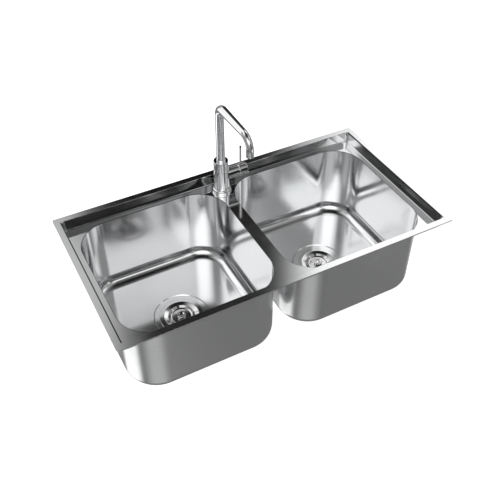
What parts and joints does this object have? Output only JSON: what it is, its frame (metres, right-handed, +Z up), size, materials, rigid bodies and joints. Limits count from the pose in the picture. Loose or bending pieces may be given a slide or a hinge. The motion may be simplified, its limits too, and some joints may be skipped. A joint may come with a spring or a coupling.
{
  "type": "kitchen sink",
  "caption": "Inset steel kitchen sink with two bowls side by side, basket wastes and a single-lever mixer tap with swivelling spout on the back of the deck.",
  "frame": {"origin": "centre of the plane in which the rim rests on the worktop", "axes": "+X to the user's right, +Y to the back where the tap stands, +Z up"},
  "size_m": [0.84, 0.44, 0.5482],
  "materials": {
    "brushed_steel": "satin",
    "polished_steel": "polished",
    "plain_steel": "satin",
    "chrome": "polished",
    "brass": "satin",
    "black_rubber": "matte",
    "white_plastic": "matte",
    "grey_plastic": "matte",
    "valve_ceramic": "polished"
  },
  "bodies": {
    "sink": {"deck_panel": "brushed_steel", "rim_seal": "black_rubber", "base_ring": "chrome", "base_gasket": "black_rubber", "tap_body": "chrome", "mounting_stud": "plain_steel", "deck_gasket": "black_rubber", "horseshoe_plate": "plain_steel", "mounting_nut": "plain_steel", "glide_ring": "grey_plastic", "swivel_washer": "grey_plastic", "spout_ring_nut": "chrome", "port_gasket": "black_rubber", "cartridge_base": "grey_plastic", "fixed_disc": "valve_ceramic", "cartridge_housing": "grey_plastic", "cartridge_nut": "brass", "dome_cover": "chrome", "left_bowl": "brushed_steel", "left_waste_dish": "polished_steel", "left_dish_gasket": "black_rubber", "left_body_gasket": "black_rubber", "left_waste_body": "white_plastic", "left_hub_insert": "brass", "left_clamp_screw": "plain_steel", "right_bowl": "brushed_steel", "right_waste_dish": "polished_steel", "right_dish_gasket": "black_rubber", "right_body_gasket": "black_rubber", "right_waste_body": "white_plastic", "right_hub_insert": "brass", "right_clamp_screw": "plain_steel"},
    "spout": {"spout_sleeve": "brass", "sleeve_seals": "black_rubber", "spout_tube": "chrome", "aerator_housing": "chrome", "aerator_washer": "black_rubber", "aerator_insert": "grey_plastic"},
    "turret": {"turret": "grey_plastic", "pivot_pin": "plain_steel"},
    "disc": {"moving_disc": "valve_ceramic", "disc_carrier": "grey_plastic"},
    "handle": {"stem": "plain_steel", "handle_cap": "chrome", "lever_rod": "chrome", "grub_screw": "plain_steel"},
    "left_basket": {"left_basket": "polished_steel", "left_basket_stem": "plain_steel", "left_basket_knob": "polished_steel", "left_basket_seal": "black_rubber"},
    "right_basket": {"right_basket": "polished_steel", "right_basket_stem": "plain_steel", "right_basket_knob": "polished_steel", "right_basket_seal": "black_rubber"}
  },
  "joints": [
    {"name": "spout_swivel", "type": "hinge", "parent": "sink", "child": "spout", "pos_m": [0, 0.168, 0], "axis": [0, 0, 1], "continuous": true},
    {"name": "handle_turn", "type": "hinge", "parent": "sink", "child": "turret", "pos_m": [0.0445, 0.168, 0.0215], "axis": [1, 0, 0], "range_deg": [-50, 50]},
    {"name": "handle_tilt", "type": "hinge", "parent": "turret", "child": "handle", "pos_m": [0.0445, 0.168, 0.0215], "axis": [0, 1, 0], "range_deg": [0, 18]},
    {"name": "disc_slide", "type": "slide", "parent": "turret", "child": "disc", "axis": [0, 0, 1], "range_m": [0, 0.00279]},
    {"name": "left_basket_lift", "type": "slide", "parent": "sink", "child": "left_basket", "axis": [0, 0, 1], "range_m": [0, 0.25]},
    {"name": "right_basket_lift", "type": "slide", "parent": "sink", "child": "right_basket", "axis": [0, 0, 1], "range_m": [0, 0.25]}
  ],
  "couplings": [
    {"joint": "disc_slide", "follows": "handle_tilt", "m_per_rad": 0.00885}
  ]
}
